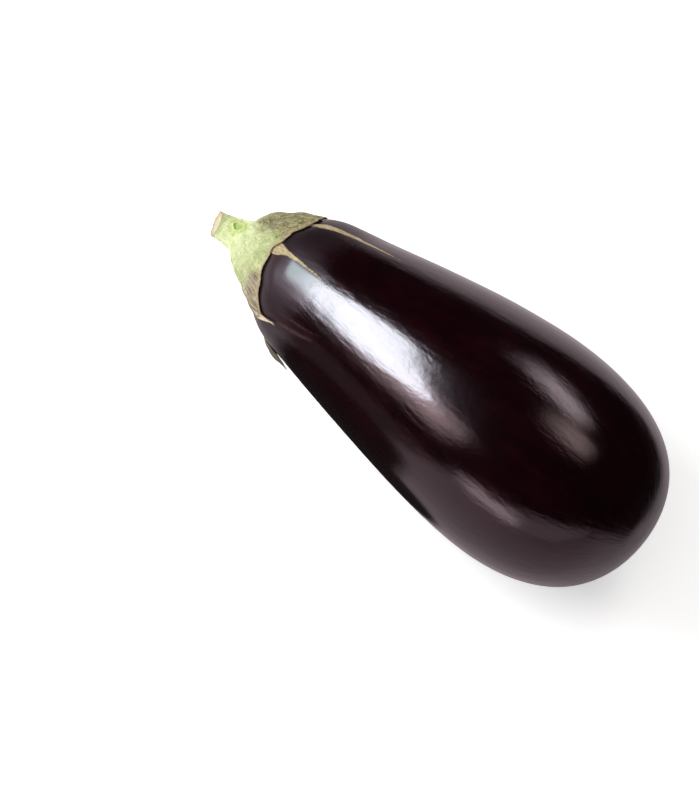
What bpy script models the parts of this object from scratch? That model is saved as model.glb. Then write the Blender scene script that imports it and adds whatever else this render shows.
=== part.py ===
"""Eggplant: a glossy fruit with its calyx and its cut stem, as picked, lying on its side.

The object's own axis runs from the stem's seat, at x = 0, to the blossom end. A root empty leans that axis
and sets it down, so that the middle of the flat spot under the fruit is the world's origin, with +Z up and
the blossom end towards +X. An angle "around" the axis is 0 at the top and grows towards -Y.
"""

import math

import bmesh
import bpy
import numpy as np
from mathutils import Vector
from mathutils.geometry import interpolate_bezier

MM = 0.001

# The fruit's outline in millimetres: distance along the axis and radius, as knot, handle before, handle after.
FRUIT_OUTLINE = (
    ((9, 0), (9, 0), (9, 14)),
    ((35, 29), (22, 26.6), (69, 35.3)),
    ((148.5, 45.8), (113, 45.8), (183, 45.8)),
    ((209.5, 0), (209.5, 34), (209.5, 0)),
)
OUTLINE_STEPS = 60  # straight pieces that each stretch between two knots is read in
# How far the sections' middles lie to one side, in millimetres, at distances along the axis.
BOW = ((9, 2.5), (60, 1.1), (110, 1.5), (165, 0.4), (210, 0.8))
BOW_AROUND = math.radians(-66)
OVAL = 0.008  # share by which the fruit is wider than it is high
THREE_SIDED = 0.008  # share by which its section swells at the top and on both sides of the belly
FRUIT_COLUMNS, FRUIT_RINGS = 56, 36

CAP_SHARE = 0.023  # of the whole's weight that the calyx and the stem have
CAP_MIDDLE = 12 * MM  # where along the axis their middle is
FLAT_DEPTH = 0.4 * MM  # how deep the resting spot is pressed into the belly
GAP = 0.3 * MM  # between pieces that touch

# The calyx's rim, lobe by lobe: angle around in degrees and reach in millimetres along the skin of the
# tip, the same of the notch after it, and how drawn out the tip is (under 1 rounds the lobe's sides).
CALYX_RIM = (
    ((-28, 36.5), (17, 30), 0.85),
    ((63, 52), (81, 38), 1.6),
    ((103, 61), (144, 29), 1.1),
    ((186, 51), (221, 28), 1.0),
    ((250, 48), (290, 28.5), 1.2),
)
RIM_WAVES, RIM_WAVE = 17, 0.6 * MM  # small waves round the rim and how far they reach
CROWN_THICKNESS = 11 * MM  # of the fleshy middle, before the stem's seat cuts it flat
CROWN_WIDTH = 16 * MM  # along the skin, where the flesh has thinned to half
CROWN_BULGE = 0.10  # share by which the flesh is thicker above each lobe than between them
RIM_THICKNESS = 0.9 * MM
RIM_LIFT = 0.4 * MM  # how far the rim stands off the skin
TIP_LIFT = 1.2 * MM  # how much further the longest tip does
CALYX_COLUMNS, CALYX_RINGS = 108, 9

STEM_OFFSET = Vector((0, -0.9, -0.4)) * MM  # of the stem's seat from the fruit's axis
STEM_LENGTH = 18 * MM
STEM_BEND = math.radians(32)  # from its foot to its cut end
STEM_BEND_AROUND = math.radians(50)
# The stem's radius in millimetres at even steps from its foot to its cut end.
STEM_RADII = (10.2, 8.2, 7.1, 6.5, 6.0, 5.7, 5.6)
STEM_RIBS, RIB_DEPTH = 6, 0.055
STEM_SIDES = 36

MATERIALS = {
    "fruit": ((0.016, 0.004, 0.009, 1), 0.16),
    "calyx": ((0.42, 0.47, 0.20, 1), 0.62),
    "stem": ((0.48, 0.58, 0.25, 1), 0.58),
}


def clear_scene():
    for obj in list(bpy.data.objects):
        bpy.data.objects.remove(obj)


def new_collection(name):
    collection = bpy.data.collections.new(name)
    bpy.context.scene.collection.children.link(collection)
    return collection


def material(name):
    colour, roughness = MATERIALS[name]
    made = bpy.data.materials.new(name)
    made.use_nodes = True
    shader = made.node_tree.nodes["Principled BSDF"]
    shader.inputs["Base Color"].default_value = colour
    shader.inputs["Roughness"].default_value = roughness
    shader.inputs["Metallic"].default_value = 0
    return made


def read_outline():
    """Distances along the axis, radii, and length along the skin from the fruit's top, at every step."""
    points = []
    for (start, _, leave), (end, arrive, _) in zip(FRUIT_OUTLINE, FRUIT_OUTLINE[1:]):
        corners = [Vector(corner) for corner in (start, leave, arrive, end)]
        points += interpolate_bezier(*corners, OUTLINE_STEPS + 1)[:-1]
    points.append(Vector(FRUIT_OUTLINE[-1][0]))
    along, radius = np.array([p[:2] for p in points]).T * MM
    skin = np.concatenate([[0], np.cumsum(np.hypot(np.diff(along), np.diff(radius)))])
    return along, radius, skin


ALONG, RADIUS, SKIN = read_outline()
AXIS_START, AXIS_END = ALONG[0], ALONG[-1]
BOW_CURVE = np.polynomial.Polynomial.fit(*np.transpose(BOW), len(BOW) - 1)
MEAN_REACH = MM * sum(tip[1] + notch[1] for tip, notch, _ in CALYX_RIM) / (2 * len(CALYX_RIM))
LONGEST_REACH = MM * max(tip[1] for tip, _, _ in CALYX_RIM)


def outwards(around):
    """The direction away from the axis at an angle around it."""
    return Vector((0, -math.sin(around), math.cos(around)))


def swell(along, around):
    """What the fruit's round section is multiplied by: slightly oval and slightly three-sided in the belly."""
    share = (along - AXIS_START) / (AXIS_END - AXIS_START)
    belly = math.sin(math.pi * min(1, max(0, share))) ** 2
    return 1 + belly * (THREE_SIDED * math.cos(3 * around) - OVAL * math.cos(2 * around))


def axis_point(along):
    """The middle of the fruit's section, which bows to one side and back."""
    return Vector((along, 0, 0)) + outwards(BOW_AROUND) * BOW_CURVE(along / MM) * MM


def skin_point(skin, around, lift=0.0):
    """A point on the fruit at a length along its skin from the top, or lifted off it square to the skin."""
    along = np.interp(skin, SKIN, ALONG)
    radius = np.interp(skin, SKIN, RADIUS)
    slope = np.interp(skin, SKIN, np.gradient(ALONG, SKIN))
    square = np.interp(skin, SKIN, np.gradient(RADIUS, SKIN))
    length = max(1e-9, math.hypot(slope, square))
    reach = radius * swell(along, around) + lift * slope / length
    middle = axis_point(along) - Vector((lift * square / length, 0, 0))
    return middle + outwards(around) * reach


def ball(columns, rings):
    """A unit ball's mesh and, for each vertex, its share of the way from the upper pole to the lower one
    and its angle around the poles."""
    shape = bmesh.new()
    bmesh.ops.create_uvsphere(shape, u_segments=columns, v_segments=rings, radius=1)
    places = []
    for vertex in shape.verts:
        down = math.acos(max(-1, min(1, vertex.co.z))) / math.pi
        places.append((vertex, down, math.atan2(vertex.co.y, vertex.co.x)))
    return shape, places


def finish_mesh(shape, name, parent, collection):
    bmesh.ops.recalc_face_normals(shape, faces=shape.faces)
    mesh = bpy.data.meshes.new(name)
    shape.to_mesh(mesh)
    shape.free()
    mesh.shade_smooth()
    mesh.set_sharp_from_angle(angle=math.radians(50))
    mesh.materials.append(material(name))
    obj = bpy.data.objects.new(name, mesh)
    obj.parent = parent
    collection.objects.link(obj)
    return obj


def fruit(parent, collection):
    """The fruit: a ball drawn out along the outline."""
    shape, places = ball(FRUIT_COLUMNS, FRUIT_RINGS)
    for vertex, down, around in places:
        vertex.co = skin_point(down * SKIN[-1], around)
    return finish_mesh(shape, "fruit", parent, collection)


def rim_reach(around):
    """How far along the skin the calyx reaches at an angle around the axis."""
    first = math.radians(CALYX_RIM[0][0][0])
    turned = math.degrees(first + (around - first) % (2 * math.pi))
    followed = CALYX_RIM[1:] + CALYX_RIM[:1]
    for (tip, notch, drawn), (next_tip, _, next_drawn) in zip(CALYX_RIM, followed):
        next_angle = next_tip[0] if next_tip[0] > notch[0] else next_tip[0] + 360
        if turned <= notch[0]:
            share = (notch[0] - turned) / (notch[0] - tip[0])
            reach = notch[1] + (tip[1] - notch[1]) * share**drawn
            break
        if turned <= next_angle:
            share = (turned - notch[0]) / (next_angle - notch[0])
            reach = notch[1] + (next_tip[1] - notch[1]) * share**next_drawn
            break
    return reach * MM + RIM_WAVE * math.sin(RIM_WAVES * around)


def calyx_thickness(skin, reach):
    """Fleshy round the stem, thin towards the rim, and swollen above the lobes."""
    lobe = min(1, (reach - MEAN_REACH) / MEAN_REACH * 3)
    bulge = 1 + CROWN_BULGE * lobe * min(1, skin / CROWN_WIDTH)
    return RIM_THICKNESS + (CROWN_THICKNESS - RIM_THICKNESS) * bulge / (1 + (skin / CROWN_WIDTH) ** 4)


def calyx(parent, collection):
    """The calyx: a ball pressed flat into a lobed cap. Its upper half is the outside, its middle the rim."""
    shape, places = ball(CALYX_COLUMNS, 2 * CALYX_RINGS)
    for vertex, down, around in places:
        outside = down < 0.5
        from_rim = abs(1 - 2 * down)
        share = 1 - from_rim**1.7
        reach = rim_reach(around)
        skin = share * (MEAN_REACH + (reach - MEAN_REACH) * share**2)
        tip = max(0, (reach - MEAN_REACH) / (LONGEST_REACH - MEAN_REACH))
        lift = GAP + share**5 * (RIM_LIFT + TIP_LIFT * tip**2)
        thickness = calyx_thickness(skin, reach)
        if from_rim < 1e-6:
            thickness *= 0.5
        elif not outside:
            thickness = 0
        point = skin_point(skin, around, lift + thickness)
        if outside:
            point.x = max(point.x, 0)
            point += STEM_OFFSET * max(0, 1 - skin / (2 * CROWN_WIDTH)) ** 2
        vertex.co = point
    return finish_mesh(shape, "calyx", parent, collection)


def stem_section(collection):
    """The stem's ribbed outline, one metre in radius, which the stem's curve is swept with."""
    curve = bpy.data.curves.new("stem_section", "CURVE")
    curve.dimensions = "2D"
    spline = curve.splines.new("POLY")
    spline.points.add(STEM_SIDES - 1)
    spline.use_cyclic_u = True
    for i, point in enumerate(spline.points):
        angle = 2 * math.pi * i / STEM_SIDES
        radius = 1 + RIB_DEPTH * math.cos(STEM_RIBS * angle)
        point.co = (radius * math.cos(angle), radius * math.sin(angle), 0, 1)
    section = bpy.data.objects.new("stem_section", curve)
    section.hide_render = True
    section.display_type = "WIRE"
    collection.objects.link(section)
    return section


def stem(parent, collection, section):
    """The stem: the ribbed section swept along a path that leaves its seat square and bends aside."""
    curve = bpy.data.curves.new("stem_path", "CURVE")
    curve.dimensions = "3D"
    curve.bevel_mode = "OBJECT"
    curve.bevel_object = section
    curve.use_fill_caps = True
    spline = curve.splines.new("POLY")
    spline.points.add(len(STEM_RADII) - 1)
    place = STEM_OFFSET - Vector((GAP, 0, 0))
    aside = outwards(STEM_BEND_AROUND)
    steps = len(STEM_RADII) - 1
    for i, (point, radius) in enumerate(zip(spline.points, STEM_RADII)):
        point.co = (*place, 1)
        point.radius = radius * MM
        bend = STEM_BEND * i / (steps - 1)
        place += (aside * math.sin(bend) - Vector((math.cos(bend), 0, 0))) * STEM_LENGTH / steps
    path = bpy.data.objects.new("stem_path", curve)
    collection.objects.link(path)
    bpy.context.view_layer.update()
    swept = bpy.data.meshes.new_from_object(path.evaluated_get(bpy.context.evaluated_depsgraph_get()))
    shape = bmesh.new()
    shape.from_mesh(swept)
    bmesh.ops.remove_doubles(shape, verts=shape.verts, dist=0.001 * MM)
    bpy.data.objects.remove(path)
    bpy.data.meshes.remove(swept)
    return finish_mesh(shape, "stem", parent, collection)


def resting_lean():
    """The lean at which the whole settles on its side, where its middle lies lowest."""
    weight = RADIUS**2 * np.gradient(ALONG)
    middle = (ALONG * weight).sum() / weight.sum()
    middle += CAP_SHARE * (CAP_MIDDLE - middle)
    leans = np.radians(np.arange(0, 15, 0.05))[:, None]
    underside = (ALONG * np.sin(leans) - RADIUS * np.cos(leans)).min(axis=1)
    heights = middle * np.sin(leans[:, 0]) - underside
    return leans[heights.argmin(), 0]


def lay_down(root):
    """Leans the root and moves it, so that the middle of the belly's lowest FLAT_DEPTH is at the world's
    origin with its upper edge at floor height."""
    lean = resting_lean()
    root.rotation_euler = (0, -lean, 0)
    leaned = root.rotation_euler.to_matrix()
    belly = []
    for skin in np.linspace(SKIN[-1] / 4, SKIN[-1] * 3 / 4, 100):
        for around in np.linspace(math.pi / 2, 3 * math.pi / 2, 180):
            belly.append(leaned @ skin_point(skin, around))
    belly = np.array(belly)
    floor = belly[:, 2].min() + FLAT_DEPTH
    spot = belly[belly[:, 2] < floor]
    middle = (spot.min(axis=0) + spot.max(axis=0)) / 2
    root.location = (-middle[0], -middle[1], -floor)


def press_flat(obj, cutters):
    """Cuts the belly level with the surface that the fruit lies on."""
    size = 200 * MM
    bpy.ops.mesh.primitive_cube_add(size=size, location=(0, 0, -size / 2))
    block = bpy.context.object
    block.name = "surface_block"
    block.hide_render = True
    block.display_type = "WIRE"
    for holder in list(block.users_collection):
        holder.objects.unlink(block)
    cutters.objects.link(block)
    cut = obj.modifiers.new("resting spot", "BOOLEAN")
    cut.operation = "DIFFERENCE"
    cut.object = block


def main():
    clear_scene()
    parts = new_collection("eggplant")
    cutters = new_collection("cutters")
    root = bpy.data.objects.new("eggplant_axis", None)
    parts.objects.link(root)
    lay_down(root)
    press_flat(fruit(root, parts), cutters)
    calyx(root, parts)
    stem(root, parts, stem_section(cutters))


main()
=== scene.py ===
"""The eggplant's looks: fine meshes and materials for its three pieces, with a floor, lights and a camera.

Shapes are worked out about the eggplant's own axis, which runs from the stem's seat, at x = 0, to the blossom
end. An angle "around" the axis is 0 at the top and grows towards -Y. "Skin" is a length along the skin from the
fruit's top, under the stem. lay_down() then brings the shapes to where the frame has them.
"""

import math

import bpy
import numpy as np
from mathutils import Matrix, Quaternion, Vector, noise

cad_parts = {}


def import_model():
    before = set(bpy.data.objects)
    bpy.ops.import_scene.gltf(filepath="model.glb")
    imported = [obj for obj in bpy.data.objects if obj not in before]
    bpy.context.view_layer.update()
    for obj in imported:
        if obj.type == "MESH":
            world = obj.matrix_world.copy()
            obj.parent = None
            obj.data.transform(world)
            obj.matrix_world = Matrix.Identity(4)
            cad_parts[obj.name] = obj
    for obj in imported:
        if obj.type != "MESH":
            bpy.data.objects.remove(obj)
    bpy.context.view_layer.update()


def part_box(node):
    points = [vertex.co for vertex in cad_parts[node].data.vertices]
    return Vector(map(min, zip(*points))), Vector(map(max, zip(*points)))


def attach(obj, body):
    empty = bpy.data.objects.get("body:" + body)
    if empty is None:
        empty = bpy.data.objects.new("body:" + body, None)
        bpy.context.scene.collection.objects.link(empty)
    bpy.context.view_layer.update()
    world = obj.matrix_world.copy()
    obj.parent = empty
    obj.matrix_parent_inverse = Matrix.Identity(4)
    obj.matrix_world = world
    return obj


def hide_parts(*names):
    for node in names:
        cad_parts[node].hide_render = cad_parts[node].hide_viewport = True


MM = 0.001

# The fruit's outline in millimetres: distance along the axis and radius, as knot, handle before, handle after.
FRUIT_OUTLINE = (
    ((9, 0), (9, 0), (9, 14)),
    ((35, 29.6), (23, 27.3), (62, 34.2)),
    ((148.5, 45.8), (116, 45.8), (183, 45.8)),
    ((209.5, 0), (209.5, 34), (209.5, 0)),
)
OUTLINE_STEP = 0.1 * MM
OUTLINE_BLUR = 2.5 * MM  # over which its joints are smoothed
# How far the sections' middles lie to one side, in millimetres, at distances along the axis.
BOW = ((9, 2.5), (60, 1.1), (110, 1.5), (165, 0.4), (210, 0.8))
BOW_AROUND = math.radians(-66)
OVAL = 0.008  # share by which the section is wider and less high
THREE_SIDED = 0.008  # share by which it swells on three sides
# The neck's underside is flatter, by a share of its radius: where along the axis, over what length and how much.
FLATTER_AT, FLATTER_OVER, FLATTER = 27 * MM, 24 * MM, 0.045
FLATTER_TURN = 0.3  # radians from the bottom to the flatter side's middle
LEAN = math.radians(7.65)
FRUIT_COLUMNS, FRUIT_ROWS = 400, 380
LUMP, LUMP_SIZE, LUMP_SUNK = 0.10 * MM, 22 * MM, 0.4
STREAK = 0.022 * MM
# Scars and rubbed marks in the skin, as middle lines: angle around in degrees, skin and half-width in millimetres.
SCARS = (
    ((-20, 30, 0.4), (-23, 35, 1.0), (-27, 40, 1.9), (-30.5, 46, 1.4))
    + ((-32.5, 55, 1.0), (-32.3, 66, 0.5), (-31.7, 78, 0.0)),
    ((15, 26, 3.2), (15, 33, 2.6), (13.7, 38, 1.15), (13.3, 46, 0.5), (14, 57, 0.2), (16, 66, 0.0)),
)
RUBS = (
    ((62, 51, 0.3), (59, 57, 0.8), (56, 64, 0.9), (52, 72, 0.2)),
    ((55, 49, 0.0), (52, 56, 0.25), (49, 66, 0.3), (46, 74, 0.0)),
)
FAR_FROM_SCARS = 50.0

GAP = 0.3 * MM
GRAIN_LENGTH = 40 * MM  # along the skin, for one unit of the space that its patterns are laid out in
# The calyx's lobes: tip and the notch after it, as angle around and reach, then how drawn out they are up to the
# tip and after it.
CALYX_RIM = (
    ((-28, 36.5), (17, 30), 1.2, 0.85),
    ((70, 42.6), (108, 20), 1.6, 6.0),
    ((134, 57), (158, 29), 2.0, 1.5),
    ((186, 51), (221, 28), 1.0, 1.0),
    ((250, 48), (290, 28.5), 1.2, 1.2),
)
RIM_WAVES, RIM_WAVE = 17, 0.6 * MM
CROWN_THICKNESS = 10.4 * MM
CROWN_WIDTH = 16 * MM
CROWN_BULGE = 0.10
RIM_THICKNESS = 0.9 * MM
EDGE_THICKNESS = 0.35 * MM
TIP_LIFT = 0.3 * MM
# The lobes' curled ends: angle around, further reach and half-width, then how far they rise and bend aside.
CURLS = (
    (-30, 0.5, 3.0, 0.8, 0),
    (70, 10.5, 1.2, 1.6, -8.5),
    (134, 1.5, 2.5, 0.2, 0),
    (186, 3.5, 2.5, 1.5, 4),
    (251, 4.0, 2.0, 1.3, -5),
)
# The lobe that leans aside: its angle around, its half-width and how far its end leans, in degrees.
LEANING_LOBE, LEANING_WIDTH, LOBE_LEAN = 134, 18, -29
FLUSH = 1.5 * MM  # over which the crown rounds into its flat seat
VEIN_HEIGHT, VEIN_WIDTH = 0.7 * MM, 1.5 * MM
WRINKLE, TOOTH = 0.35 * MM, 0.55 * MM
CALYX_LUMP, CALYX_LUMP_SIZE = 0.45 * MM, 4 * MM
# The fuller shoulder: its height, then its middle and half-widths, in millimetres of skin and degrees around.
SHOULDER, SHOULDER_AT, SHOULDER_OVER = 1.8 * MM, (17, 85), (6, 25)
CALYX_COLUMNS, CALYX_ROWS, LINING_ROWS = 900, 120, 24

STEM_OFFSET = np.array((0, -0.9, -0.4)) * MM
STEM_LENGTH = 18 * MM
STEM_BEND = math.radians(32)
STEM_BEND_AROUND = math.radians(50)
STEM_RADII = (10.2, 8.2, 7.1, 6.5, 6.0, 5.7, 5.6)
STEM_RIBS, RIB_DEPTH, STEM_TWIST = 6, 0.055, 0.25
STEM_FLARE = 1.6 * MM
# The scar of a fallen bract: where along the stem, as a share, and around it, then its size.
KNOB_ALONG, KNOB_ANGLE = 0.31, -43
KNOB_LENGTH, KNOB_WIDTH, KNOB_HEIGHT = 4.2 * MM, 2.9 * MM, 1.2 * MM
KNOB_UNEVEN = 0.45
# The slanted cut: its slope and how far back it is in millimetres, the side that it faces and how hollow it is.
CUT_SLANT = (0.20, 1.3)
CUT_FACING = (0.407, -0.303, 0.862)
CUT_HOLLOW = 0.5 * MM
STEM_COLUMNS, STEM_ROWS, CUT_ROWS = 180, 120, 20

# Colours from dark to light, each at a value of the pattern that they are spread over.
GREENS = (
    (0.34, (0.24, 0.31, 0.10, 1)),
    (0.45, (0.38, 0.44, 0.18, 1)),
    (0.56, (0.54, 0.60, 0.29, 1)),
    (0.68, (0.66, 0.73, 0.40, 1)),
)
# The olive patch's colours: olive flesh, with its darkest tones as painted shade for the lobe's shaded side.
OLIVES_AND_SHADE = (
    (0.40, (0.07, 0.055, 0.014, 1)),
    (0.48, (0.15, 0.125, 0.04, 1)),
    (0.55, (0.30, 0.27, 0.105, 1)),
    (0.64, (0.55, 0.50, 0.27, 1)),
)
BROWNS = (
    (0.38, (0.07, 0.045, 0.025, 1)),
    (0.46, (0.18, 0.13, 0.08, 1)),
    (0.54, (0.36, 0.30, 0.19, 1)),
    (0.63, (0.62, 0.55, 0.40, 1)),
)

FLOOR_HALF = 4.0
CAMERA_AIM = Vector((-31, -30.3, 40)) * MM
CAMERA_AZIMUTH, CAMERA_ELEVATION, CAMERA_DISTANCE = 43.63, 65.29, 0.8689
CAMERA_LENS = 99
LIGHT_DISTANCE = 1.2


# Shapes


def read_outline():
    """Length along the skin, distance along the axis and radius, with the outline's joints smoothed."""
    t = np.linspace(0, 1, 500, endpoint=False)[:, None]
    stretches = []
    for (start, _, leave), (end, arrive, _) in zip(FRUIT_OUTLINE, FRUIT_OUTLINE[1:]):
        a, b, c, d = np.array((start, leave, arrive, end), float)
        stretches.append((1 - t) ** 3 * a + 3 * (1 - t) ** 2 * t * b + 3 * (1 - t) * t**2 * c + t**3 * d)
    points = np.vstack(stretches + [[FRUIT_OUTLINE[-1][0]]]) * MM
    length = np.concatenate([[0], np.cumsum(np.hypot(*np.diff(points, axis=0).T))])
    skin = np.linspace(0, length[-1], round(length[-1] / OUTLINE_STEP) + 1)
    reach = round(3 * OUTLINE_BLUR / OUTLINE_STEP)
    weight = np.exp(-0.5 * (np.arange(-reach, reach + 1) * OUTLINE_STEP / OUTLINE_BLUR) ** 2)
    along = np.pad(np.interp(skin, length, points[:, 0]), reach, mode="reflect")
    radius = np.pad(np.interp(skin, length, points[:, 1]), reach, mode="reflect", reflect_type="odd")
    weight /= weight.sum()
    return skin, np.convolve(along, weight, "valid"), np.convolve(radius, weight, "valid")


SKIN, ALONG, RADIUS = read_outline()
SLOPE, SQUARE = np.gradient(ALONG, SKIN), np.gradient(RADIUS, SKIN)
AXIS_START, AXIS_END = ALONG[0], ALONG[-1]
BOW_CURVE = np.polynomial.Polynomial.fit(*np.transpose(BOW), len(BOW) - 1)
MEAN_REACH = MM * sum(tip[1] + notch[1] for tip, notch, _, _ in CALYX_RIM) / (2 * len(CALYX_RIM))
LONGEST_REACH = MM * max(tip[1] for tip, _, _, _ in CALYX_RIM)


def outwards(around):
    """The directions away from the axis at angles around it."""
    around = np.asarray(around, float)
    return np.stack([np.zeros_like(around), -np.sin(around), np.cos(around)], -1)


def swell(along, around):
    """What the fruit's round section is multiplied by: oval and three-sided in the belly, flatter under the neck."""
    share = (along - AXIS_START) / (AXIS_END - AXIS_START)
    belly = np.sin(np.pi * np.clip(share, 0, 1)) ** 2
    under = smooth_step(-np.cos(around - FLATTER_TURN), 0.1, 0.9)
    neck = np.exp(-(((along - FLATTER_AT) / FLATTER_OVER) ** 2)) * under
    return 1 + belly * (THREE_SIDED * np.cos(3 * around) - OVAL * np.cos(2 * around)) - FLATTER * neck


def skin_points(skin, around, lift=0.0):
    """Points on the fruit at lengths along its skin from the top, or lifted off it square to the skin."""
    along, radius, slope, square = (np.interp(skin, SKIN, values) for values in (ALONG, RADIUS, SLOPE, SQUARE))
    length = np.maximum(1e-9, np.hypot(slope, square))
    reach = radius * swell(along, around) + lift * slope / length
    points = outwards(around) * reach[..., None]
    points += outwards(BOW_AROUND) * (BOW_CURVE(along / MM) * MM)[..., None]
    points[..., 0] += along - lift * square / length
    return points


def smooth_step(values, low, high):
    share = np.clip((values - low) / (high - low), 0, 1)
    return share * share * (3 - 2 * share)


def lumps(points, size, seed=0.0):
    """Smooth noise from about -1 to 1 over points, in lumps of a size."""
    flat = points.reshape(-1, 3) / size + seed
    found = [noise.noise(Vector(p), noise_basis="PERLIN_ORIGINAL") for p in flat]
    return np.array(found).reshape(points.shape[:-1])


def streaks(skin, around, width, stretch, seed=0.0):
    """Smooth noise that is drawn out along the skin: a streak's width in radians and its length."""
    points = np.stack([np.cos(around) / width, np.sin(around) / width, skin / stretch], -1)
    return lumps(points, 1, seed)


def skin_grain(skin, around):
    """Places in a space where patterns run along the skin."""
    return np.stack([np.cos(around), np.sin(around), skin / GRAIN_LENGTH], -1)


def closed_mesh(name, rings, first, last, values):
    """A closed mesh over rings of points, from one pole to the other, with values kept at its points."""
    rows, columns = rings.shape[:2]
    points = np.vstack([rings.reshape(-1, 3), first, last])
    row, column = np.meshgrid(np.arange(rows - 1), np.arange(columns), indexing="ij")
    after = (column + 1) % columns
    here, ahead = row * columns, (row + 1) * columns
    quads = np.stack([here + column, here + after, ahead + after, ahead + column], -1).reshape(-1, 4)
    column = np.arange(columns)
    after = (column + 1) % columns
    start = np.stack([np.full(columns, rows * columns), after, column], -1)
    foot = (rows - 1) * columns
    end = np.stack([np.full(columns, rows * columns + 1), foot + column, foot + after], -1)
    mesh = bpy.data.meshes.new(name)
    mesh.from_pydata(points.tolist(), [], quads.tolist() + start.tolist() + end.tolist())
    for key, grid in values.items():
        size = grid.shape[-1] if grid.ndim == 3 else 1
        poles = [row_values.reshape(-1, size).mean(0) for row_values in (grid[0], grid[-1])]
        flat = np.vstack([grid.reshape(-1, size), *poles])
        kind, slot = ("FLOAT_VECTOR", "vector") if size == 3 else ("FLOAT", "value")
        mesh.attributes.new(key, kind, "POINT").data.foreach_set(slot, flat.astype(np.float32).ravel())
    mesh.shade_smooth()
    mesh.update()
    return mesh


def lay_down():
    """The matrix that brings shapes from about the eggplant's own axis to where the frame has them."""
    turn = Matrix.Rotation(-LEAN, 4, "Y")
    skin, around = np.meshgrid(np.linspace(0, SKIN[-1], 200), np.linspace(0, 2 * np.pi, 180), indexing="ij")
    turned = skin_points(skin, around).reshape(-1, 3) @ np.array(turn.to_3x3()).T
    low, high = (np.array(corner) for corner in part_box("fruit"))
    move = (low + high) / 2 - (turned.min(0) + turned.max(0)) / 2
    move[2] = high[2] - turned[:, 2].max()
    return Matrix.Translation(move) @ turn


def add_piece(name, mesh, node, material, place):
    mesh.transform(place)
    mesh.materials.append(material)
    piece = bpy.data.objects.new(name, mesh)
    bpy.context.scene.collection.objects.link(piece)
    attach(piece, "root")
    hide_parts(node)


def fruit_mesh(place):
    """The fruit, with faint lumps, and streaks that run along it."""
    skin, around = np.meshgrid(
        np.linspace(0, SKIN[-1], FRUIT_ROWS + 2)[1:-1],
        np.linspace(0, 2 * np.pi, FRUIT_COLUMNS, endpoint=False),
        indexing="ij",
    )
    still = smooth_step(skin, 0, 30 * MM) * smooth_step(SKIN[-1] - skin, 0, 25 * MM)
    lift = LUMP * (lumps(skin_points(skin, around), LUMP_SIZE) - LUMP_SUNK)
    lift += STREAK * still * streaks(skin, around, 0.10, 22 * MM)
    lift += 0.5 * STREAK * still * streaks(skin, around, 0.045, 9 * MM, 7)
    points = skin_points(skin, around, lift)
    poles = skin_points(np.array([0, SKIN[-1]]), np.zeros(2))
    values = {
        "grain": skin_grain(skin, around),
        "scar": scar_gap(skin, around, SCARS),
        "rub": scar_gap(skin, around, RUBS),
    }
    mesh = closed_mesh("fruit_skin", points, poles[0], poles[1], values)
    # The resting spot is pressed flat at floor height.
    sunk = np.empty(len(mesh.vertices) * 3)
    mesh.vertices.foreach_get("co", sunk)
    placed = sunk.reshape(-1, 3) @ np.array(place.to_3x3()).T + np.array(place.translation)
    placed[:, 2] = np.maximum(placed[:, 2], 0)
    back = np.array(place.inverted())
    mesh.vertices.foreach_set("co", (placed @ back[:3, :3].T + back[:3, 3]).ravel())
    mesh.update()
    return mesh


def scar_gap(skin, around, scars):
    """How far, in millimetres, each point of the skin is from the nearest scar's edge: under 0 inside it."""
    nearest = np.full(skin.shape, FAR_FROM_SCARS)
    turned = apart(around, 0)
    radius = np.interp(skin, SKIN, RADIUS) / MM
    for line in scars:
        angles, lengths, widths = np.transpose(line)
        middle = np.interp(skin / MM, lengths, angles)
        width = np.interp(skin / MM, lengths, widths)
        gap = np.abs(np.radians(turned - middle)) * radius - width
        beyond = np.maximum(0, np.maximum(lengths[0] - skin / MM, skin / MM - lengths[-1]))
        nearest = np.minimum(nearest, gap + beyond)
    return nearest


def rim_reach(around):
    """How far along the skin the calyx reaches at angles around the axis."""
    first = CALYX_RIM[0][0][0]
    turned = first + (np.degrees(around) - first) % 360
    reach = np.zeros_like(turned)
    followed = CALYX_RIM[1:] + CALYX_RIM[:1]
    for (tip, notch, _, drawn), (next_tip, _, next_drawn, _) in zip(CALYX_RIM, followed):
        next_angle = next_tip[0] if next_tip[0] > notch[0] else next_tip[0] + 360
        falling = (turned >= tip[0]) & (turned <= notch[0])
        rising = (turned > notch[0]) & (turned <= next_angle)
        share = np.clip((notch[0] - turned) / (notch[0] - tip[0]), 0, 1)
        reach = np.where(falling, notch[1] + (tip[1] - notch[1]) * share**drawn, reach)
        share = np.clip((turned - notch[0]) / (next_angle - notch[0]), 0, 1)
        reach = np.where(rising, notch[1] + (next_tip[1] - notch[1]) * share**next_drawn, reach)
    return reach * MM + RIM_WAVE * np.sin(RIM_WAVES * around)


def calyx_thickness(skin, reach):
    lobe = np.minimum(1, (reach - MEAN_REACH) / MEAN_REACH * 3)
    bulge = 1 + CROWN_BULGE * lobe * np.minimum(1, skin / CROWN_WIDTH)
    return RIM_THICKNESS + (CROWN_THICKNESS - RIM_THICKNESS) * bulge / (1 + (skin / CROWN_WIDTH) ** 4)


def veins(skin, around):
    """The lobes' raised middles, as a share of their full height."""
    radius = np.interp(skin, SKIN, RADIUS)
    total = np.zeros_like(skin)
    for tip, _, _, _ in CALYX_RIM:
        total += np.exp(-((np.radians(apart(around, tip[0])) * radius / VEIN_WIDTH) ** 2))
    return total


def apart(angle, middle):
    """How far angles around are from one of them, in degrees, to either side."""
    return (np.degrees(angle) - middle + 180) % 360 - 180


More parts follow.
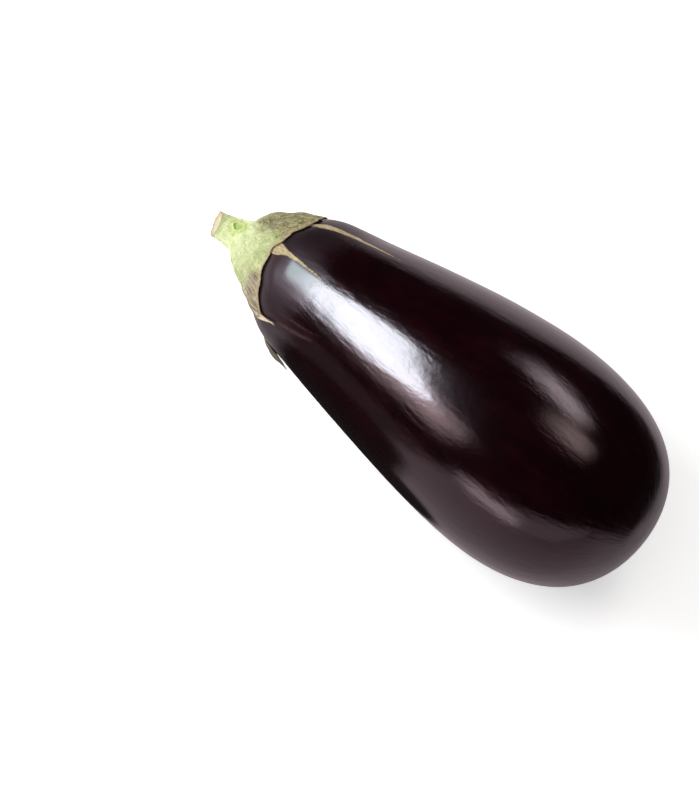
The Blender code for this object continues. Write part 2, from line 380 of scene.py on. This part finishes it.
def calyx_mesh():
    """The calyx: a lobed cap with a toothed rim, veined and wrinkled outside, that thins towards its rim."""
    around = np.linspace(0, 2 * np.pi, CALYX_COLUMNS, endpoint=False)
    reach = rim_reach(around)
    edge = np.stack([np.cos(around), np.sin(around), 0 * around], -1)
    reach = reach + TOOTH * lumps(edge, 0.045, 3) + 0.8 * TOOTH * lumps(edge, 0.018, 5)
    plain, further, curled, bent = reach, np.zeros_like(around), np.zeros_like(around), np.zeros_like(around)
    for middle, longer, half_width, high, sideways in CURLS:
        hook = np.exp(-((apart(around, middle) / half_width) ** 2))
        further += longer * MM * hook
        curled += high * hook
        bent += sideways / longer / MM * (np.abs(apart(around, middle)) < 4 * half_width)
    reach = reach + further
    outer = np.linspace(0, 1, CALYX_ROWS + 1)[1:] ** 0.8
    inner = np.linspace(1, 0, LINING_ROWS + 1)[1:-1]
    share, angle = np.meshgrid(np.concatenate([outer, inner]), around, indexing="ij")
    outside = (np.arange(len(outer) + len(inner)) < len(outer))[:, None]
    skin = share * (MEAN_REACH + (reach - MEAN_REACH) * share**2)
    tip = np.clip((reach - MEAN_REACH) / (LONGEST_REACH - MEAN_REACH), 0, None)
    from_rim = (reach - skin) / MM
    flesh = smooth_step(from_rim, 0, 9) ** 0.8
    thickness = EDGE_THICKNESS + (calyx_thickness(skin, reach) - EDGE_THICKNESS) * flesh
    lift = 0.4 * GAP + 0.6 * GAP * flesh + share**6 * TIP_LIFT * tip**2
    relief = VEIN_HEIGHT * veins(skin, angle) * smooth_step(skin, 12 * MM, 20 * MM) * smooth_step(from_rim, 0, 8)
    relief += WRINKLE * streaks(skin, angle, 0.10, 9 * MM) * smooth_step(skin, 8 * MM, 16 * MM)
    relief += 0.6 * WRINKLE * streaks(skin, angle, 0.04, 5 * MM, 11) * smooth_step(skin, 6 * MM, 14 * MM)
    relief += CALYX_LUMP * lumps(skin_points(skin, angle), CALYX_LUMP_SIZE, 9) * smooth_step(from_rim, 0, 5)
    along = (skin / MM - SHOULDER_AT[0]) / SHOULDER_OVER[0]
    aside = apart(angle, SHOULDER_AT[1]) / SHOULDER_OVER[1]
    relief += SHOULDER * np.exp(-(along**2) - aside**2)
    curl = smooth_step(3 - from_rim, 0, 3) * MM * (0.25 + 0.25 * streaks(skin, angle, 0.12, 30 * MM, 2) + curled)
    rounded = np.clip(from_rim / 0.6, 0, 1) ** 0.5
    lining = lift + curl
    body = thickness * rounded + relief * smooth_step(from_rim, 0, 2.5)
    lifted = np.where(outside, lining + np.maximum(body, 0), lining)
    beyond = np.maximum(0, skin - plain)
    lobe = np.exp(-((apart(angle, LEANING_LOBE) / LEANING_WIDTH) ** 4))
    leaning = LOBE_LEAN * lobe * smooth_step(skin, 27 * MM, 54 * MM)
    points = skin_points(skin, angle + np.radians(bent * beyond + leaning), lifted)
    # The stem's seat cuts the crown flat, and lies a little to one side.
    seat = 0.5 * (points[..., 0] + np.sqrt(points[..., 0] ** 2 + FLUSH**2)) - 0.35 * FLUSH
    points[..., 0] = np.where(outside, seat, points[..., 0])
    sunk = np.maximum(0, 1 - skin / (2 * CROWN_WIDTH)) ** 2
    points += np.where(outside, sunk, 0)[..., None] * STEM_OFFSET
    turned = apart(angle, 0)
    lower = smooth_step(turned, 34, 50) * (1 - smooth_step(turned, 84, 92)) * smooth_step(skin / MM, 18, 36)
    # The leaning lobe's dark colour: partly a dried edge, partly painted shade for the side that faces away from the
    # light.
    dried_and_shaded = smooth_step(turned, 108, 118) * (1 - smooth_step(turned, 142, 155)) * smooth_step(skin / MM, 24, 38)
    values = {
        "grain": skin_grain(skin, angle),
        "rim_gap": from_rim,
        "pale": 1 - smooth_step(skin / MM, 10, 26),
        "brown": np.maximum(lower, smooth_step(skin / MM, 36, 50)),
        # The olive patch on the upper lobe: partly its own olive colour, partly painted shade.
        "olive_and_shade": np.exp(-((apart(angle, -33) / 38) ** 4)) * smooth_step(skin / MM, 7, 17),
        "dry_and_shade": dried_and_shaded * (1 - 0.5 * smooth_step(beyond / MM, 0, 1)),
        "curl": smooth_step(beyond / MM, 0.5, 2.5),
    }
    return closed_mesh("calyx_cap", points, points[0].mean(0), points[-1].mean(0), values)


def knob_relief(share, angle, radius):
    """How far each point of the stem is from the middle of the bract's scar, as a share of the scar's size."""
    along = (share - KNOB_ALONG) * STEM_LENGTH / KNOB_LENGTH
    aside = np.radians(apart(angle, KNOB_ANGLE)) * radius / KNOB_WIDTH
    return np.hypot(along, aside)


def stem_mesh():
    """The stem: a ribbed stalk that flares into the calyx, bends aside and ends in a slanted cut face."""
    share = np.linspace(-0.12, 1, STEM_ROWS)
    bend = STEM_BEND * np.clip((6 * share - 0.5) / 5, 0, None)
    aside = outwards(STEM_BEND_AROUND)
    ahead = np.sin(bend)[:, None] * aside - np.cos(bend)[:, None] * np.array((1.0, 0, 0))
    steps = np.diff(share)[:, None] * STEM_LENGTH * (ahead[1:] + ahead[:-1]) / 2
    path = np.vstack([np.zeros(3), np.cumsum(steps, axis=0)])
    path += STEM_OFFSET - np.array((GAP, 0, 0)) - path[np.argmin(np.abs(share))]
    radius = np.interp(share, np.linspace(0, 1, len(STEM_RADII)), STEM_RADII) * MM
    weight = np.array([1, 2, 3, 4, 3, 2, 1]) / 16
    radius = np.convolve(np.pad(radius, 3, mode="edge"), weight, "valid")
    radius += STEM_FLARE * smooth_step(-share, -0.05, 0.12)
    across = np.cross(aside, (1.0, 0, 0))
    side = np.cross(ahead, across)
    angle = np.linspace(0, 2 * np.pi, STEM_COLUMNS, endpoint=False)
    wide = angle[None, :] + STEM_TWIST * share[:, None]
    ribs = 1 + RIB_DEPTH * (np.cos(STEM_RIBS * wide) + 0.5 * np.cos(3 * wide + 1) + 0.4 * np.cos(13 * wide))
    body = radius[:, None] * ribs
    direction = np.cos(angle)[None, :, None] * across + np.sin(angle)[None, :, None] * side[:, None, :]
    centre = path[:, None, :]
    rough = centre + direction * body[..., None]
    body = body + 0.35 * MM * lumps(rough, 3.5 * MM) + 0.16 * MM * lumps(rough, 1.3 * MM)
    knob = knob_relief(share[:, None], angle[None, :], body) + KNOB_UNEVEN * lumps(rough, 2.4 * MM, 4)
    above = 0.6 + 0.6 * smooth_step(share - KNOB_ALONG, -0.15, 0.15)
    crest = np.exp(-(((knob - 0.75) / 0.3) ** 2)) * above[:, None]
    body = body + KNOB_HEIGHT * (0.9 * crest + 0.25 * np.exp(-((knob / 0.9) ** 2)))
    points = centre + direction * body[..., None]
    # The cut is slanted: it draws the stem's end back on the side that it faces.
    facing = np.array(CUT_FACING)
    facing = facing - facing.dot(ahead[-1]) * ahead[-1]
    facing /= np.linalg.norm(facing)
    back = ((points - path[-1]) @ facing) * CUT_SLANT[0] + CUT_SLANT[1] * MM
    back = back[-1] * smooth_step(share, 0.55, 1)[:, None]
    points = points - back[..., None] * ahead[-1]
    inward = np.linspace(1, 0, CUT_ROWS + 1)[1:-1]
    middle = points[-1].mean(0)
    hollow = CUT_HOLLOW * (1 - inward**2)
    face = middle + (points[-1] - middle)[None] * inward[:, None, None] - hollow[:, None, None] * ahead[-1]
    rings = np.concatenate([points, face])
    length = np.concatenate([share, np.ones(len(face))])
    spread = np.concatenate([np.ones(len(points)), inward])
    knob = np.concatenate([knob, np.full(face.shape[:2], 9.0)])
    values = {
        "along": np.repeat(length[:, None], STEM_COLUMNS, 1),
        "spread": np.repeat(spread[:, None], STEM_COLUMNS, 1),
        "knob": knob,
        "angle": np.repeat(np.stack([np.cos(angle), np.sin(angle), 0 * angle], -1)[None], len(rings), 0),
        "cut": np.repeat((np.arange(len(rings)) >= len(points) - 1).astype(float)[:, None], STEM_COLUMNS, 1),
    }
    return closed_mesh("stem_stalk", rings, path[0], middle - CUT_HOLLOW * ahead[-1], values)


# Materials


def add(tree, kind, inputs=None, **settings):
    """A shader node with its settings and its inputs, each of them a number, a colour or another's output."""
    made = tree.nodes.new("ShaderNode" + kind)
    for key, value in settings.items():
        setattr(made, key, value)
    for key, value in (inputs or {}).items():
        if isinstance(value, bpy.types.NodeSocket):
            tree.links.new(value, made.inputs[key])
        else:
            made.inputs[key].default_value = value
    return made


def blend(tree, factor, first, second):
    return add(tree, "Mix", {0: factor, 6: first, 7: second}, data_type="RGBA").outputs[2]


def calculate(tree, operation, first, second=0.0):
    return add(tree, "Math", {0: first, 1: second}, operation=operation).outputs[0]


def fade(tree, value, low, high):
    """0 up to low, 1 from high on, or the other way round where low is the larger."""
    inputs = {"Value": value, "From Min": low, "From Max": high}
    return add(tree, "MapRange", inputs, interpolation_type="SMOOTHSTEP").outputs[0]


def share_of(tree, value, low, high, most):
    """A fade that goes no further than a share."""
    return calculate(tree, "MULTIPLY", fade(tree, value, low, high), most)


def scaled(tree, value, factor, offset):
    """A value times a factor, and moved by an offset."""
    return add(tree, "Math", {0: value, 1: factor, 2: offset}, operation="MULTIPLY_ADD").outputs[0]


def raise_surface(tree, shader, height, distance):
    bump = add(tree, "Bump", {"Height": height, "Distance": distance, "Strength": 1.0})
    tree.links.new(bump.outputs[0], shader.inputs["Normal"])


def kept(tree, name, output="Fac"):
    return add(tree, "Attribute", attribute_name=name).outputs[output]


def stretched(tree, vector, scale):
    return add(tree, "Mapping", {"Vector": vector, "Scale": scale}).outputs[0]


def clouds(tree, vector, scale, detail=2.0, roughness=0.5, distortion=0.0):
    inputs = {"Vector": vector, "Scale": scale, "Detail": detail}
    inputs |= {"Roughness": roughness, "Distortion": distortion}
    return add(tree, "TexNoise", inputs).outputs[0]


def new_material(name, **constants):
    """A material whose Principled shader has its constant inputs set."""
    made = bpy.data.materials.new(name)
    made.use_nodes = True
    shader = made.node_tree.nodes["Principled BSDF"]
    for key, value in constants.items():
        shader.inputs[key.replace("_", " ")].default_value = value
    return made, made.node_tree, shader


def hairy_material(name):
    """The dull, finely hairy surface that the calyx and the stem share."""
    tint = (0.9, 0.95, 0.8, 1)
    return new_material(name, Roughness=0.6, Sheen_Weight=0.2, Sheen_Roughness=0.4, Sheen_Tint=tint)


def skin_material():
    """Waxy blackish purple skin: a reddish glow under a clearer coat, duller by the calyx, with corky scars."""
    made, tree, shader = new_material(
        "eggplant_skin",
        Coat_Weight=0.55,
        Coat_Roughness=0.13,
        Coat_IOR=1.45,
        Specular_Tint=(1.0, 0.66, 0.76, 1),
    )
    grain = kept(tree, "grain", "Vector")
    place = add(tree, "TexCoord").outputs["Object"]
    mottle = clouds(tree, stretched(tree, grain, (6, 6, 2.5)), 1.0, 4, 0.6)
    base = blend(tree, fade(tree, mottle, 0.35, 0.7), (0.0035, 0.0001, 0.0006, 1), (0.0075, 0.0004, 0.0014, 1))
    ragged = scaled(tree, clouds(tree, place, 900, 3, 0.6), 1.2, -0.6)
    corky = fade(tree, calculate(tree, "ADD", kept(tree, "scar"), ragged), 0.25, -0.25)
    fibres = clouds(tree, stretched(tree, grain, (60, 60, 12)), 1.0, 4)
    cork = blend(tree, fade(tree, fibres, 0.35, 0.65), (0.50, 0.42, 0.225, 1), (0.27, 0.21, 0.105, 1))
    rub = calculate(tree, "ADD", kept(tree, "rub"), calculate(tree, "MULTIPLY", ragged, 2))
    base = blend(tree, share_of(tree, rub, 0.5, -0.5, 0.8), base, (0.05, 0.02, 0.025, 1))
    tree.links.new(blend(tree, corky, base, cork), shader.inputs["Base Color"])
    skin = calculate(tree, "MULTIPLY", add(tree, "SeparateXYZ", {0: grain}).outputs[2], GRAIN_LENGTH / MM)
    hazy = fade(tree, calculate(tree, "ADD", skin, calculate(tree, "MULTIPLY", mottle, 12)), 72, 52)
    dull = blend(tree, hazy, (0.16, 0.16, 0.16, 1), (0.5, 0.5, 0.5, 1))
    dull = blend(tree, corky, dull, (0.75, 0.75, 0.75, 1))
    tree.links.new(dull, shader.inputs["Roughness"])
    broad = clouds(tree, stretched(tree, grain, (17, 17, 5)), 1.0, 3, 0.55)
    fine = clouds(tree, stretched(tree, grain, (60, 60, 16)), 1.0, 3, 0.6)
    height = calculate(tree, "ADD", broad, calculate(tree, "MULTIPLY", fine, 0.25))
    raise_surface(tree, shader, height, 0.15 * MM)
    return made


def ramp(tree, factor, stops):
    """Colours from dark to light, spread over a pattern's values."""
    made = add(tree, "ValToRGB", {"Fac": factor})
    band = made.color_ramp
    while len(band.elements) < len(stops):
        band.elements.new(0.5)
    for element, (position, colour) in zip(band.elements, stops):
        element.position = position
        element.color = colour
    return made.outputs[0]


def mixed(tree, first, second, share):
    """One pattern with a share of a second in it."""
    kept_part = calculate(tree, "MULTIPLY", first, 1 - share)
    return calculate(tree, "ADD", kept_part, calculate(tree, "MULTIPLY", second, share))


def green_flesh(tree, place, pattern):
    """Lime to cream, with fine grey-green dots."""
    green = ramp(tree, pattern, GREENS)
    stipple = clouds(tree, place, 1300, 3, 0.65)
    return blend(tree, share_of(tree, stipple, 0.5, 0.7, 0.5), green, (0.22, 0.29, 0.12, 1))


def calyx_material():
    """Dull pale green flesh that turns olive and brown in streaks, with a straw margin; the olive patch is darkened
    further with painted shade, and the leaning lobe is dark partly for its dried edge and partly as painted shade.
    """
    made, tree, shader = hairy_material("eggplant_calyx")
    grain = kept(tree, "grain", "Vector")
    place = add(tree, "TexCoord").outputs["Object"]
    soft = clouds(tree, place, 170, 4, 0.6)
    fine = clouds(tree, place, 700, 4, 0.65)
    radial = clouds(tree, stretched(tree, grain, (30, 30, 4)), 1.0, 4, 0.65)
    hairs = clouds(tree, stretched(tree, grain, (110, 110, 9)), 1.0, 3, 0.6)
    pale = calculate(tree, "MULTIPLY", kept(tree, "pale"), 0.12)
    green = green_flesh(tree, place, calculate(tree, "ADD", mixed(tree, soft, radial, 0.5), pale))
    spots = clouds(tree, place, 380, 4, 0.65, 1.6)
    # Olive flesh whose dark tones are painted shade on the shaded side of the upper lobe.
    olive_and_shade = ramp(tree, mixed(tree, spots, radial, 0.35), OLIVES_AND_SHADE)
    brown = ramp(tree, mixed(tree, radial, hairs, 0.45), BROWNS)
    edge = scaled(tree, mixed(tree, radial, fine, 0.5), 3.0, -1.5)
    olive_and_shade_share = fade(tree, calculate(tree, "ADD", kept(tree, "olive_and_shade"), edge), 0.0, 0.7)
    brown_share = fade(tree, calculate(tree, "ADD", kept(tree, "brown"), edge), 0.1, 0.8)
    dry_and_shade_share = fade(tree, calculate(tree, "ADD", kept(tree, "dry_and_shade"), edge), 0.1, 0.6)
    colour = blend(tree, olive_and_shade_share, green, olive_and_shade)
    colour = blend(tree, brown_share, colour, brown)
    wide = scaled(tree, clouds(tree, place, 110, 3, 0.6), 7.0, -3.5)
    gap = calculate(tree, "ADD", calculate(tree, "ADD", kept(tree, "rim_gap"), edge), wide)
    colour = blend(tree, share_of(tree, gap, 2.4, 0.2, 0.75), colour, (0.40, 0.31, 0.17, 1))
    colour = blend(tree, calculate(tree, "MULTIPLY", kept(tree, "curl"), 0.8), colour, (0.78, 0.62, 0.46, 1))
    # Painted shade, with a dried edge: the leaning lobe goes near black brown.
    colour = blend(tree, calculate(tree, "MULTIPLY", dry_and_shade_share, 0.85), colour, (0.045, 0.028, 0.02, 1))
    tree.links.new(colour, shader.inputs["Base Color"])
    height = mixed(tree, mixed(tree, radial, fine, 0.45), hairs, 0.25)
    raise_surface(tree, shader, height, 1.0 * MM)
    return made


def stem_material():
    """Pale lime stalk with a bract's greener scar, and a tan cut face with a brown rim."""
    made, tree, shader = hairy_material("eggplant_stem")
    place = add(tree, "TexCoord").outputs["Object"]
    angle = kept(tree, "angle", "Vector")
    along = add(tree, "CombineXYZ", {0: 0.0, 1: 0.0, 2: kept(tree, "along")}).outputs[0]
    length = add(tree, "VectorMath", {0: stretched(tree, angle, (9, 9, 0)), 1: stretched(tree, along, (0, 0, 2))})
    ridges = clouds(tree, length.outputs[0], 1.0, 4, 0.6)
    soft = clouds(tree, place, 170, 4, 0.6)
    fine = clouds(tree, place, 700, 4, 0.65)
    green = green_flesh(tree, place, calculate(tree, "ADD", mixed(tree, soft, ridges, 0.5), 0.12))
    uneven = calculate(tree, "MULTIPLY", calculate(tree, "SUBTRACT", soft, 0.5), 1.2)
    knob = calculate(tree, "ADD", kept(tree, "knob"), uneven)
    green = blend(tree, share_of(tree, knob, 1.7, 1.1, 0.7), green, (0.36, 0.47, 0.10, 1))
    green = blend(tree, share_of(tree, knob, 1.1, 0.8, 0.8), green, (0.66, 0.70, 0.36, 1))
    green = blend(tree, fade(tree, knob, 0.7, 0.25), green, (0.32, 0.44, 0.10, 1))
    spread = calculate(tree, "ADD", kept(tree, "spread"), calculate(tree, "MULTIPLY", fine, 0.16))
    pith = blend(tree, fade(tree, spread, 0.55, 0.85), (0.64, 0.58, 0.35, 1), (0.50, 0.40, 0.24, 1))
    pith = blend(tree, fade(tree, spread, 0.98, 1.04), pith, (0.17, 0.10, 0.06, 1))
    colour = blend(tree, fade(tree, kept(tree, "cut"), 0.4, 0.6), green, pith)
    tree.links.new(colour, shader.inputs["Base Color"])
    height = mixed(tree, mixed(tree, ridges, soft, 0.4), fine, 0.35)
    raise_surface(tree, shader, height, 1.0 * MM)
    return made


# Room


def floor():
    """A white floor that glows softly for the camera, more so far off. The skin mirrors it lit on the near side
    and beyond the stem, and dark elsewhere and in two ovals and a wedge."""
    mesh = bpy.data.meshes.new("floor")
    signs = ((-1, -1), (1, -1), (1, 1), (-1, 1))
    mesh.from_pydata([(x * FLOOR_HALF, y * FLOOR_HALF, 0) for x, y in signs], [], [(0, 1, 2, 3)])
    plane = bpy.data.objects.new("floor", mesh)
    bpy.context.scene.collection.objects.link(plane)
    made, tree, shader = new_material("floor", Roughness=0.9, Specular_IOR_Level=0.0)
    place = add(tree, "TexCoord").outputs["Object"]
    near_side = add(tree, "VectorMath", {0: place, 1: (0.26, 0.966, 0)}, operation="DOT_PRODUCT").outputs["Value"]
    stem_side = add(tree, "VectorMath", {0: place, 1: (0.925, 0.38, 0)}, operation="DOT_PRODUCT").outputs["Value"]
    lit = calculate(tree, "MAXIMUM", fade(tree, near_side, 0.07, 0.04), fade(tree, stem_side, 0.175, 0.145))
    beside = 1.0
    for middle, turn, half in (((-0.069, -0.09), 1.07, (0.10, 0.043)), ((-0.015, -0.055), 0, (0.035, 0.02))):
        patch = {"Vector": place, "Location": (*middle, 0), "Rotation": (0, 0, turn), "Scale": (*half, 1)}
        offset = add(tree, "Mapping", patch, vector_type="TEXTURE").outputs[0]
        reach = add(tree, "VectorMath", {0: offset}, operation="LENGTH").outputs["Value"]
        beside = calculate(tree, "MULTIPLY", beside, fade(tree, reach, 0.85, 1.15))
    ray = add(tree, "VectorMath", {0: place, 1: (-0.03, -0.04, 0)}, operation="SUBTRACT").outputs[0]
    ray = add(tree, "VectorMath", {0: ray}, operation="NORMALIZE").outputs[0]
    ray = add(tree, "VectorMath", {0: ray, 1: (-0.656, -0.755, 0)}, operation="DOT_PRODUCT").outputs["Value"]
    away = calculate(tree, "SUBTRACT", 1.0, share_of(tree, ray, 0.927, 0.974, 0.85))
    lit = calculate(tree, "MULTIPLY", lit, calculate(tree, "MINIMUM", beside, away))
    mirrored = add(tree, "LightPath").outputs["Is Glossy Ray"]
    mirror = blend(tree, lit, (0.02, 0.02, 0.02, 1), (0.54, 0.47, 0.50, 1))
    tree.links.new(blend(tree, mirrored, (0.93, 0.93, 0.93, 1), mirror), shader.inputs["Base Color"])
    far = fade(tree, add(tree, "VectorMath", {0: place}, operation="LENGTH").outputs["Value"], 0.5, 1.6)
    glow = calculate(tree, "ADD", 0.4, calculate(tree, "MULTIPLY", far, 0.6))
    seen = calculate(tree, "MULTIPLY", add(tree, "LightPath").outputs["Is Camera Ray"], glow)
    shader.inputs["Emission Color"].default_value = (1, 1, 1, 1)
    tree.links.new(seen, shader.inputs["Emission Strength"])
    mesh.materials.append(made)


def softbox(
    name, azimuth, elevation, size, roll, radiance, colour=(1, 1, 1), edge=0.3, seen="all", disk=False
):
    """A light that fills a patch of the sky seen from the object: its middle, its size and its roll in degrees,
    and the share of its half width over which it fades out at its edges. It is seen in gloss, in matt or in all."""
    turn, rise = math.radians(azimuth), math.radians(elevation)
    direction = Vector((math.cos(turn) * math.cos(rise), math.sin(turn) * math.cos(rise), math.sin(rise)))
    light = bpy.data.lights.new(name, "AREA")
    light.shape = "DISK" if disk else "RECTANGLE"
    light.size, light.size_y = (2 * LIGHT_DISTANCE * math.tan(math.radians(side / 2)) for side in size)
    light.energy = radiance * math.pi * light.size * light.size_y
    light.color = colour
    lamp = bpy.data.objects.new(name, light)
    lamp.location = direction * LIGHT_DISTANCE
    lamp.rotation_mode = "QUATERNION"
    lamp.rotation_quaternion = direction.to_track_quat("Z", "Y") @ Quaternion((0, 0, 1), math.radians(roll))
    lamp.visible_camera = False
    lamp.visible_glossy = seen != "matt"
    lamp.visible_diffuse = seen != "gloss"
    bpy.context.scene.collection.objects.link(lamp)
    if edge:
        fade_out(light, edge)


def fade_out(light, edge):
    """Makes a light fade out over a share of its half width at its edges."""
    light.use_nodes = True
    tree = light.node_tree
    across = add(tree, "NewGeometry").outputs["Parametric"]
    offset = add(tree, "VectorMath", {0: across, 1: (0.5, 0.5, 0.5)}, operation="SUBTRACT").outputs[0]
    offset = add(tree, "VectorMath", {0: offset}, operation="ABSOLUTE").outputs[0]
    parts = add(tree, "SeparateXYZ", {0: offset}).outputs
    fades = [fade(tree, part, 0.5, 0.5 - edge / 2) for part in (parts[0], parts[1])]
    tree.links.new(calculate(tree, "MULTIPLY", *fades), tree.nodes["Emission"].inputs["Strength"])


def lights():
    softbox("key", -155, 34, (34, 13.5), -22, 23, (0.76, 0.97, 1.0), 0.15, "gloss")
    softbox("key_soft", -156, 34, (37, 14.5), -22, 22, (1, 1, 1), 0.35, "matt")
    softbox("key_tail", -133, 29, (24, 30), 0, 3.4, (1.0, 0.88, 0.88), 0.8)
    softbox("key_spill", -155, 15, (22, 12), 0, 1.6, (1.0, 0.9, 0.9), 0.8)
    softbox("overhead", 103, 47, (44, 24), -37, 3.9, (1, 1, 1), 0.85)
    softbox("overhead_end", 66, 71, (44, 30), 24, 2.3, (1.0, 0.92, 0.85), 0.9)
    softbox("near_bar", -93, 8, (40, 14), 0, 2.4, (1, 0.96, 0.98), 0.6)
    softbox("near_card", -65, -40, (120, 120), 0, 0.55, (1, 0.9, 0.94), 0.0, disk=True)
    softbox("fill", -60, 75, (60, 60), 0, 0.8, seen="matt")


def world():
    """White to the camera, grey to matt surfaces and nearly black to glossy ones."""
    made = bpy.data.worlds.new("room")
    made.use_nodes = True
    made.cycles.sampling_method = "NONE"
    tree = made.node_tree
    background = tree.nodes["Background"]
    path = add(tree, "LightPath")
    shade = blend(tree, path.outputs["Is Camera Ray"], (0.25, 0.25, 0.25, 1), (1, 1, 1, 1))
    shade = blend(tree, path.outputs["Is Glossy Ray"], shade, (0.01, 0.01, 0.01, 1))
    tree.links.new(shade, background.inputs["Color"])
    bpy.context.scene.world = made


def camera():
    data = bpy.data.cameras.new("camera")
    data.lens = CAMERA_LENS
    turn, rise = math.radians(CAMERA_AZIMUTH), math.radians(CAMERA_ELEVATION)
    back = Vector((math.sin(turn) * math.cos(rise), -math.cos(turn) * math.cos(rise), math.sin(rise)))
    made = bpy.data.objects.new("camera", data)
    made.location = CAMERA_AIM + back * CAMERA_DISTANCE
    made.rotation_euler = (-back).to_track_quat("-Z", "Y").to_euler()
    bpy.context.scene.collection.objects.link(made)
    bpy.context.scene.camera = made
    bpy.context.scene.view_settings.view_transform = "Standard"


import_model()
place = lay_down()
add_piece("fruit_skin", fruit_mesh(place), "fruit", skin_material(), place)
add_piece("calyx_cap", calyx_mesh(), "calyx", calyx_material(), place)
add_piece("stem_stalk", stem_mesh(), "stem", stem_material(), place)
floor()
lights()
world()
camera()
